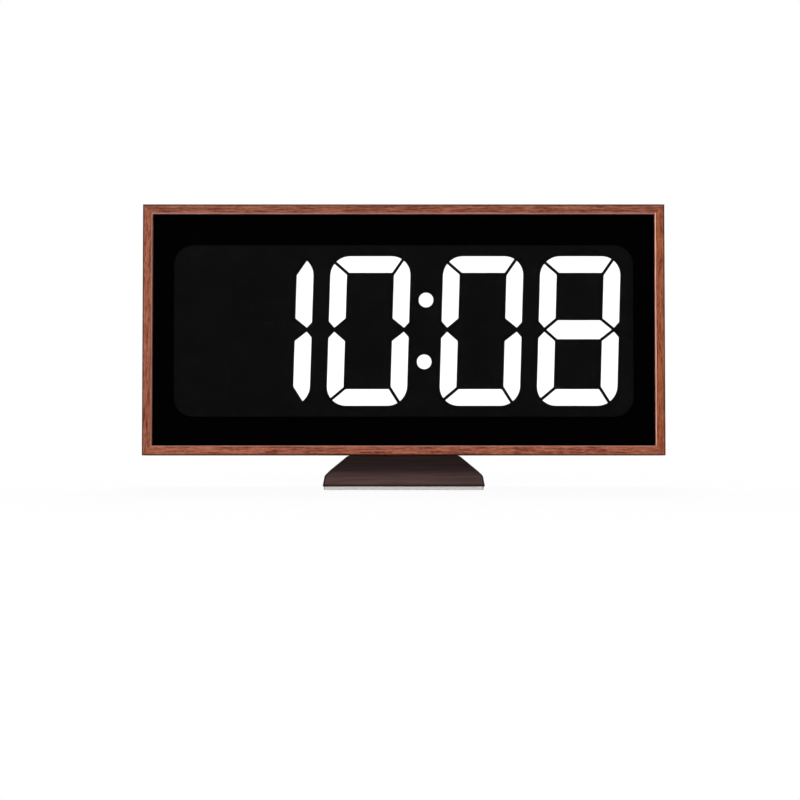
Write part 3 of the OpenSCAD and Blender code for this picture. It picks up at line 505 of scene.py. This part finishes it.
def tongue_faces(bm):
    """Faces of the tongue in the inlet's mouth, the upper and lower ones marked for its contacts."""
    contacts = bm.faces.layers.float.new("contacts")
    bm.normal_update()
    upright = ON_STAND.inverted()

    def on_tongue(p):
        return abs(p.x - INLET_X) < TONGUE_W / 2 + HAIR and abs(p.z - INLET_Z) < TONGUE_T / 2 + HAIR

    faces = [f for f in bm.faces if all(on_tongue(upright @ v.co) for v in f.verts)]
    for face in faces:
        face[contacts] = 1.0 if abs(face.normal.z) > LEVEL else 0.0
    return faces


gilt, shader = finish("gilt_tongue", {"Roughness": 0.4})
strips = stripes(gilt, "X", CONTACT_PITCH)
contacts = worked(gilt, "MULTIPLY", strips, marked(gilt, "contacts"))
tongue_tones = [(BLACK_UNTIL, screen(24, 24, 25)), (GILT_FROM, screen(214, 176, 98))]
metal = spread(gilt, contacts, low=0.0, high=1.0, start=BLACK_UNTIL, stop=GILT_FROM)
feed(gilt, shader.inputs["Base Color"], shades(gilt, contacts, tongue_tones))
feed(gilt, shader.inputs["Metallic"], metal)
relief(gilt, shader, contacts, CONTACT_H)
softened(
    "inlet",
    "power_socket",
    "clock",
    [drawn("inlet_steel", screen(170, 171, 172), shine=0.36), gilt],
    "bright_steel",
    width=INLET_EDGE,
    past=INLET_END - TONGUE_SUNK - HAIR,
    second=tongue_faces,
)

# Back cover
# One black moulding with vents, sound slots and the openings for the controls, screwed to the glue blocks.
# Its outer edges are slightly round, and its face is spark-eroded. Raised pale signs by the battery cap
# show where its arrow points: a dot for locked and a ring for open.
COVER_FACE, COVER_EDGE, COVER_EDGE_IN = 35 * MM, 0.4 * MM, 0.1 * MM
CELL_X, CELL_Z, UNLOCK = -62 * MM, 79.5 * MM, radians(50)
SIGN_H, SIGN_SUNK, ROUND_STEPS = 0.15 * MM, 0.05 * MM, 32
LOCK_SIGN_R, LOCK_SIGN_OUT, LOCK_RING_W = 0.9 * MM, 16.4 * MM, 0.35 * MM


def on_back(x, z):
    """Place on the back cover: x to the right and y up as seen from behind, z outwards."""
    turn = Matrix(((-1, 0, 0, 0), (0, 0, 1, 0), (0, 1, 0, 0), (0, 0, 0, 1)))
    return ON_STAND @ Matrix.Translation((x, COVER_FACE, z)) @ turn


OUTWARDS = on_back(0, 0).to_3x3() @ Vector((0, 0, 1))


def by_cell(turn, out):
    """Place just under the cover's face, turned round the battery cap's axis and set out from it."""
    sunk = Matrix.Translation((0, out, -SIGN_SUNK))
    return on_back(CELL_X, CELL_Z) @ Matrix.Rotation(turn, 4, "Z") @ sunk


def disc(bm, radius, segments, place):
    """The face of a flat shape with equal sides."""
    made = bmesh.ops.create_circle(bm, cap_ends=True, segments=segments, radius=radius, matrix=place)
    return list({f for v in made["verts"] for f in v.link_faces})


def ring(bm, radius, width, place):
    """The faces of a flat ring."""
    whole = disc(bm, radius, ROUND_STEPS, place)
    faces = bmesh.ops.inset_region(bm, faces=whole, thickness=width, use_boundary=True)["faces"]
    bmesh.ops.delete(bm, geom=whole, context="FACES_ONLY")
    return faces


def raised(bm, faces, lift):
    """Raises the faces of a sign and returns all the faces that it then has."""
    others = set(bm.faces) - set(faces)
    run = bmesh.ops.extrude_face_region(bm, geom=faces)["geom"]
    bmesh.ops.translate(bm, vec=lift, verts=points(run))
    sign = list(set(bm.faces) - others)
    bmesh.ops.recalc_face_normals(bm, faces=sign)
    return sign


def lock_signs(bm):
    """Faces of the dot and the ring by the battery cap."""
    dot = disc(bm, LOCK_SIGN_R, ROUND_STEPS, by_cell(0, LOCK_SIGN_OUT))
    open_ring = ring(bm, LOCK_SIGN_R, LOCK_RING_W, by_cell(UNLOCK, LOCK_SIGN_OUT))
    return raised(bm, dot + open_ring, OUTWARDS * SIGN_H)


cover_black = moulded("cover_black", screen(30, 30, 31), shine=0.56, pit=0.5 * MM, gloss=0.4)
sign_pale = moulded("sign_pale", screen(196, 196, 194), shine=0.5, pit=0.2 * MM)
softened(
    "cover",
    "back_cover",
    "clock",
    [cover_black, sign_pale],
    "cover_black",
    width=COVER_EDGE,
    past=COVER_FACE - COVER_EDGE_IN,
    second=lock_signs,
)
dress(cover_black, "stand_floor")

# Button caps
# Four black caps, each held behind the cover by its flange and pressing one switch tip.
# Each has a slightly dished top with a raised pale sign: time, up, down and light.
CAP_R, CAP_PROUD, CAP_EDGE, CAP_STEPS = 4.5 * MM, 1.0 * MM, 0.45 * MM, 48
FLANGE_R, FLANGE_LOW, FLANGE_TOP = 6.0 * MM, -3.85 * MM, -2.65 * MM
DISH, DISH_R, DISH_FALL = 0.22 * MM, 0.82 * CAP_R, 0.6
BUTTON_Z = 115.5 * MM
DIAL_R, DIAL_W, HAND_W = 2.1 * MM, 0.4 * MM, 0.35 * MM
MINUTE_L, MINUTE_OUT, HOUR_L, HOUR_OUT = 1.2 * MM, 0.5 * MM, 0.75 * MM, 0.55 * MM
TRIANGLE_R = 1.9 * MM
SUN_R, SUN_STEPS, RAYS = 0.9 * MM, 24, 8
RAY_W, RAY_L, RAY_OUT = 0.35 * MM, 0.9 * MM, 1.7 * MM


def spun(bm, profile, steps):
    """Turns a profile of radius and height round z."""
    chain = [bm.verts.new((r, 0, h)) for r, h in profile]
    line = [bm.edges.new(pair) for pair in zip(chain, chain[1:])]
    bmesh.ops.spin(
        bm, geom=chain + line, cent=(0, 0, 0), axis=(0, 0, 1), angle=2 * pi, steps=steps, use_merge=True
    )
    bmesh.ops.remove_doubles(bm, verts=bm.verts, dist=WELD)
    bmesh.ops.recalc_face_normals(bm, faces=bm.faces)


def bar(bm, w, h, place):
    """The face of a flat strip."""
    size = Matrix.Diagonal((w / 2, h / 2, 1, 1))
    made = bmesh.ops.create_grid(bm, x_segments=1, y_segments=1, size=1, matrix=place @ size)
    return list({f for v in made["verts"] for f in v.link_faces})


def time_sign(bm, low):
    """A dial ring with two hands."""
    faces = ring(bm, DIAL_R, DIAL_W, low)
    faces += bar(bm, HAND_W, MINUTE_L, low @ Matrix.Translation((0, MINUTE_OUT, 0)))
    faces += bar(bm, HOUR_L, HAND_W, low @ Matrix.Translation((HOUR_OUT, 0, 0)))
    return faces


def up_sign(bm, low):
    """A triangle with its point up."""
    return disc(bm, TRIANGLE_R, 3, low)


def down_sign(bm, low):
    """A triangle with its point down."""
    return disc(bm, TRIANGLE_R, 3, low @ Matrix.Rotation(pi, 4, "Z"))


def light_sign(bm, low):
    """A disc with rays."""
    faces = disc(bm, SUN_R, SUN_STEPS, low)
    for number in range(RAYS):
        turn = Matrix.Rotation(number * 2 * pi / RAYS, 4, "Z")
        faces += bar(bm, RAY_W, RAY_L, low @ turn @ Matrix.Translation((0, RAY_OUT, 0)))
    return faces


BUTTONS = {
    "set": (-68 * MM, time_sign),
    "up": (-84 * MM, up_sign),
    "down": (-100 * MM, down_sign),
    "light": (-116 * MM, light_sign),
}
CAP_PROFILE = [
    (0, FLANGE_LOW),
    (FLANGE_R, FLANGE_LOW),
    (FLANGE_R, FLANGE_TOP),
    (CAP_R, FLANGE_TOP),
    (CAP_R, CAP_PROUD),
    (DISH_R, CAP_PROUD - DISH_FALL * DISH),
    (0, CAP_PROUD - DISH),
]
cap_black = moulded("cap_black", screen(46, 46, 47), shine=0.42, pit=0.25 * MM)
for name, (x, sign) in BUTTONS.items():
    bm = bmesh.new()
    spun(bm, CAP_PROFILE, CAP_STEPS)
    rim = [e for e in bm.edges if all(abs(v.co.z - CAP_PROUD) < WELD for v in e.verts)]
    rounded(bm, rim, CAP_EDGE, segments=4)
    flat_sign = sign(bm, Matrix.Translation((0, 0, CAP_PROUD - DISH)))
    for face in raised(bm, flat_sign, (0, 0, SIGN_H)):
        face.material_index = 1
    bmesh.ops.transform(bm, matrix=on_back(x, BUTTON_Z), verts=bm.verts)
    piece(bm, name + "_cap", name + "_button", [cap_black, sign_pale], "button_black", name + "_button")

# Battery cap
# Black bayonet cap over the back-up cell, turned with a coin in its slot.
# A moulding of the same plastic as the buttons, with softened edges and a raised pale arrow at its rim.
ARROW_R, ARROW_OUT = 1.3 * MM, 10.9 * MM
CELL_CAP_EDGE, CELL_CAP_EDGE_IN = 0.25 * MM, 1.2 * MM


def cap_arrow(bm):
    """Faces of the arrow that points out at the lock signs."""
    return raised(bm, disc(bm, ARROW_R, 3, by_cell(0, ARROW_OUT)), OUTWARDS * SIGN_H)


softened(
    "cell_cap",
    "battery_cap",
    "battery_cap",
    [cap_black, sign_pale],
    "button_black",
    width=CELL_CAP_EDGE,
    past=COVER_FACE - CELL_CAP_EDGE_IN,
    second=cap_arrow,
)

# Cover screws
# Seven plated countersunk screws with cross recesses, driven through the cover into the glue blocks.
# Each stopped at its own angle.
HEAD_R, HEAD_H, HEAD_DROP = 2.9 * MM, 1.5 * MM, 0.05 * MM
THREAD_R, SCREW_L = 1.5 * MM, 13 * MM
ARM_W, ARM_L, RECESS, RECESS_TAPER = 0.34 * MM, 1.55 * MM, 1.1 * MM, 0.6
STOPPED = 0.7
SCREWS = (
    (-178.2 * MM, 11.8 * MM),
    (178.2 * MM, 11.8 * MM),
    (-178.2 * MM, 171.2 * MM),
    (178.2 * MM, 171.2 * MM),
    (-40 * MM, 10.8 * MM),
    (40 * MM, 10.8 * MM),
    (0, 172.2 * MM),
)


def grown(bm, edges, radius, z):
    """Extrudes an outline to a circle at height z and returns its new edges."""
    run = bmesh.ops.extrude_edge_only(bm, edges=edges)["geom"]
    for v in points(run):
        v.co = (*(v.co.xy.normalized() * radius), z)
    return [part for part in run if isinstance(part, bmesh.types.BMEdge)]


bm = bmesh.new()
for number, (x, z) in enumerate(SCREWS):
    one = bmesh.new()
    outline = []
    for quarter in range(4):
        turn = Matrix.Rotation(-quarter * pi / 2, 2)
        for corner in ((ARM_W, ARM_L), (ARM_W, ARM_W), (ARM_L, ARM_W)):
            outline.append(one.verts.new((turn @ Vector(corner)).to_3d()))
    recess = one.faces.new(outline)
    bmesh.ops.subdivide_edges(one, edges=one.edges, cuts=1)
    head = grown(one, one.edges[:], HEAD_R, -HEAD_DROP)
    cone = grown(one, head, THREAD_R, -HEAD_H)
    shank = grown(one, cone, THREAD_R, -SCREW_L)
    bmesh.ops.contextual_create(one, geom=shank)
    floor_verts = points(bmesh.ops.extrude_face_region(one, geom=[recess])["geom"])
    bmesh.ops.delete(one, geom=[recess], context="FACES_ONLY")
    bmesh.ops.scale(one, vec=(RECESS_TAPER, RECESS_TAPER, 1), verts=floor_verts)
    bmesh.ops.translate(one, vec=(0, 0, -RECESS), verts=floor_verts)
    bmesh.ops.recalc_face_normals(one, faces=one.faces)
    driven = on_back(x, z) @ Matrix.Rotation(number * STOPPED, 4, "Z")
    bmesh.ops.transform(one, matrix=driven, verts=one.verts)
    held = bpy.data.meshes.new("one_screw")
    one.to_mesh(held)
    one.free()
    bm.from_mesh(held)
    bpy.data.meshes.remove(held)
piece(bm, "cover_screw_set", "clock", [steel], "bright_steel", "cover_screws")

# Stand
# A dark-brown moulded shell with a straight low wall, sloped sides and a flat top that the clock is
# screwed down on from inside. Its satin lacquer is painted with shade: darkest round the top, where the
# clock shades it, and along the rounded hips.
FOOT_W, FOOT_D, FOOT_Z = 115.5 * MM, 86 * MM, 2.6 * MM
FOOT_EDGE, FOOT_EDGE_IN = 0.7 * MM, 0.1 * MM
WALL_TOP, WALL_IN, HIP_EDGE = 10.3 * MM, 1.4 * MM, 1.3 * MM
TOP_W, TOP_D, SHELL_T = 81.4 * MM, 31 * MM, 2.6 * MM
LACQUER_STREAK, LACQUER_GRAIN, LACQUER_DEPTH = (30 * MM, 1.6 * MM, 1.6 * MM), 0.35 * MM, 0.03 * MM
# The lacquer's own tones, and the tone of the painted shade along the hips
LACQUER_TONES, HIP_SHADE = [(0.3, screen(73, 54, 52)), (0.7, screen(92, 70, 67))], screen(24, 17, 17)
HIP_SLANT, HIP_SHADE_SHARE = 0.15, 0.7
# Height from foot to top and how light the lacquer is painted there: painted shade along the foot,
# lighter on the wall and its shoulder, painted shadow of the clock towards the top
LACQUER_LIGHT_AND_SHADE = (
    (0.05, 0.3),
    (0.1, 1.0),
    (0.2, 0.9),
    (0.32, 0.75),
    (0.42, 0.86),
    (0.53, 0.4),
    (0.7, 0.26),
    (0.9, 0.26),
    (1.0, 0.36),
)

espresso, shader = finish("espresso_satin", {"Specular IOR Level": 0.15})
streaks = noise(espresso, LACQUER_STREAK, detail=4)
fine = speckle(espresso, LACQUER_GRAIN, detail=2)
height = add(espresso, "SeparateXYZ", {"Vector": where(espresso)}).outputs["Z"]
rise = spread(espresso, height, low=0.0, high=1.0, start=FOOT_Z, stop=SADDLE_Z)
# Painted light and shade by height: shade along the foot, the clock's shadow towards the top
painted_light_and_shade = shades(espresso, rise, [(share, (light, light, light, 1)) for share, light in LACQUER_LIGHT_AND_SHADE])
lacquer_with_shade = mixed(espresso, 1.0, shades(espresso, streaks, LACQUER_TONES), painted_light_and_shade, "MULTIPLY")
# The rounded hips are painted with shade
with_hip_shade = mixed(espresso, marked(espresso, "painted_edge_shade"), lacquer_with_shade, HIP_SHADE)
feed(espresso, shader.inputs["Base Color"], with_hip_shade)
feed(espresso, shader.inputs["Roughness"], spread(espresso, fine, low=0.72, high=0.84))
relief(espresso, shader, fine, LACQUER_DEPTH, strength=0.5)


def outside(p):
    """How far a point lies past the outline of the foot."""
    return max(abs(p.x) - FOOT_W / 2, abs(p.y) - FOOT_D / 2)


bm = bmesh.new()
foot = Matrix.Diagonal((FOOT_W / 2, FOOT_D / 2, 1, 1))
bmesh.ops.create_grid(bm, x_segments=1, y_segments=1, size=1, matrix=foot)
bmesh.ops.translate(bm, vec=(0, 0, FOOT_Z), verts=bm.verts)
layer = bm.faces[:]
shoulder = (FOOT_W / 2 - WALL_IN, FOOT_D / 2 - WALL_IN, WALL_TOP)
for half_w, half_d, z in (shoulder, (TOP_W / 2, TOP_D / 2, SADDLE_Z)):
    run = bmesh.ops.extrude_face_region(bm, geom=layer)["geom"]
    bmesh.ops.delete(bm, geom=layer, context="FACES_ONLY")
    layer = [part for part in run if isinstance(part, bmesh.types.BMFace)]
    for v in layer[0].verts:
        v.co = (half_w if v.co.x > 0 else -half_w, half_d if v.co.y > 0 else -half_d, z)
# The top leans with the clock, and its ends stay in the planes of the side slopes
side_slope = (FOOT_W / 2 - WALL_IN - TOP_W / 2) / (SADDLE_Z - WALL_TOP)
for v in layer[0].verts:
    drop = v.co.y * tan(LEAN)
    v.co.z -= drop
    v.co.x += side_slope * drop * (1 if v.co.x > 0 else -1)
bmesh.ops.recalc_face_normals(bm, faces=bm.faces)
painted_edge_shade = bm.faces.layers.float.new("painted_edge_shade")
# Painted shade along the slanting rounded hips
for face in rounded(bm, [e for e in bm.edges if not e.is_boundary], HIP_EDGE, segments=4):
    if min(abs(face.normal.x), abs(face.normal.y)) > HIP_SLANT:
        face[painted_edge_shade] = HIP_SHADE_SHARE
bmesh.ops.solidify(bm, geom=bm.faces[:], thickness=SHELL_T)
at_foot = {v for v in bm.verts if abs(v.co.z - FOOT_Z) < WELD and outside(v.co) > -FOOT_EDGE_IN}
foot_edge = [e for e in bm.edges if e.verts[0] in at_foot and e.verts[1] in at_foot]
rounded(bm, foot_edge, FOOT_EDGE, segments=3)
piece(bm, "stand", "clock", [espresso], "stand_brown", "stand_shell")

# Stand pad
# Pale grey foam-rubber pad glued under the stand, a little smaller than its foot.
# Cut from sheet: soft edges and a fine closed-cell surface.
PAD_SETBACK, PAD_CORNER, PAD_EDGE = 0.8 * MM, 2 * MM, 0.5 * MM
RIM_OVER = radians(60)
FOAM_CELL, FOAM_DEPTH = 0.5 * MM, 0.15 * MM
FOAM_TONES = [(0.3, screen(200, 196, 190)), (0.7, screen(220, 217, 212))]
foam, shader = finish("pad_foam", {"Specular IOR Level": 0.2})
cells = speckle(foam, FOAM_CELL, detail=2)
feed(foam, shader.inputs["Base Color"], shades(foam, cells, FOAM_TONES))
feed(foam, shader.inputs["Roughness"], spread(foam, cells, low=0.8, high=0.95))
relief(foam, shader, cells, FOAM_DEPTH, strength=0.6)
bm = bmesh.new()
pad_size = Matrix.Diagonal((FOOT_W - 2 * PAD_SETBACK, FOOT_D - 2 * PAD_SETBACK, FOOT_Z, 1))
bmesh.ops.create_cube(bm, size=1, matrix=Matrix.Translation((0, 0, FOOT_Z / 2)) @ pad_size)
uprights = [e for e in bm.edges if abs(e.verts[0].co.z - e.verts[1].co.z) > MM]
rounded(bm, uprights, PAD_CORNER, segments=4)
rims = [e for e in bm.edges if e.calc_face_angle() > RIM_OVER]
rounded(bm, rims, PAD_EDGE, segments=3)
piece(bm, "pad", "clock", [foam], "pad_grey", "stand_pad")

# Studio floor
# A pale sheet of paper under the clock, plain white where it runs out to the background.
# Near the clock it keeps a faint shadow.
FLOOR_HALF = 3
NEAR_WHITE, NEAR, FAR = 0.95, 0.2, 0.5
PAPER = {"Base Color": (0.9, 0.9, 0.9, 1), "Roughness": 0.9, "Specular IOR Level": 0.1}
paper, shader = finish("floor_paper", PAPER)
rays = add(paper, "LightPath", {}).outputs
seen = rays["Is Camera Ray"]
for kind in ("Is Glossy Ray", "Is Transmission Ray"):
    seen = worked(paper, "MAXIMUM", seen, rays[kind])
away = add(paper, "VectorMath", {0: where(paper)}, operation="LENGTH").outputs["Value"]
plain = spread(paper, away, low=NEAR_WHITE, high=1.0, start=NEAR, stop=FAR)
share = worked(paper, "MULTIPLY", seen, plain)
white = add(paper, "Emission", {"Color": (1, 1, 1, 1), "Strength": 1.0})
both = add(paper, "MixShader", {0: share, 1: shader.outputs["BSDF"], 2: white.outputs["Emission"]})
feed(paper, paper.node_tree.nodes["Material Output"].inputs["Surface"], both.outputs["Shader"])
bm = bmesh.new()
bmesh.ops.create_grid(bm, x_segments=1, y_segments=1, size=FLOOR_HALF)
sheet = bpy.data.meshes.new("studio_floor")
bm.to_mesh(sheet)
bm.free()
sheet.materials.append(paper)
ground = bpy.data.objects.new("studio_floor", sheet)
bpy.context.scene.collection.objects.link(ground)

# Studio light
# Two soft lamps in front, a little above the clock so that the panel mirrors neither, the left one
# stronger, and one overhead towards the back. The surround is white where it is looked at or where the
# clock mirrors what is behind it. As light on the clock it is dim above and behind, and dark in front.
DIM_LOW, DIM_HIGH, DIMMED = 0.01, 0.25, 0.3
LAMPS_AIM = Vector((0, 0, 0.1))
# Place, width, height and power of each lamp
LAMPS = {
    "left_lamp": ((-1.1, -1.9, 0.55), 0.8, 0.3, 23),
    "right_lamp": ((1.1, -1.9, 0.55), 0.8, 0.3, 15),
    "overhead_lamp": ((0, 0.75, 1.2), 0.8, 0.8, 16),
}
world = bpy.data.worlds.new("studio")
bpy.context.scene.world = world
world.use_nodes = True
rays = add(world, "LightPath", {}).outputs
aim = add(world, "TexCoord", {}).outputs["Generated"]
apart = add(world, "SeparateXYZ", {"Vector": aim}).outputs
above = spread(world, apart["Z"], low=DIM_LOW, high=DIM_HIGH, start=0.3, stop=0.9)
behind = spread(world, apart["Y"], low=0.0, high=1.0, start=0.0, stop=0.5)
mirrored = worked(world, "MAXIMUM", rays["Is Glossy Ray"], rays["Is Transmission Ray"])
backdrop = worked(world, "MULTIPLY", behind, worked(world, "MAXIMUM", mirrored, DIMMED))
room = worked(world, "MAXIMUM", above, backdrop)
background = world.node_tree.nodes["Background"]
background.inputs["Color"].default_value = (1, 1, 1, 1)
feed(world, background.inputs["Strength"], worked(world, "MAXIMUM", room, rays["Is Camera Ray"]))

for name, (place, width, height, power) in LAMPS.items():
    light = bpy.data.lights.new(name, "AREA")
    light.shape = "RECTANGLE"
    light.size = width
    light.size_y = height
    light.energy = power
    lamp = bpy.data.objects.new(name, light)
    bpy.context.scene.collection.objects.link(lamp)
    lamp.location = place
    lamp.rotation_mode = "QUATERNION"
    lamp.rotation_quaternion = (LAMPS_AIM - lamp.location).to_track_quat("-Z", "Y")

# Camera
# Level, square to the clock and a little below its middle.
# It stands 1.3 m away, with a short telephoto lens.
CAMERA_AT, FOCAL, SENSOR_W = (-0.00268, -1.3, 0.064), 79.6, 36
bpy.context.scene.view_settings.view_transform = "Standard"
lens = bpy.data.cameras.new("camera")
lens.sensor_width = SENSOR_W
lens.lens = FOCAL
camera = bpy.data.objects.new("camera", lens)
bpy.context.scene.collection.objects.link(camera)
camera.location = CAMERA_AT
camera.rotation_euler = (pi / 2, 0, 0)
bpy.context.scene.camera = camera
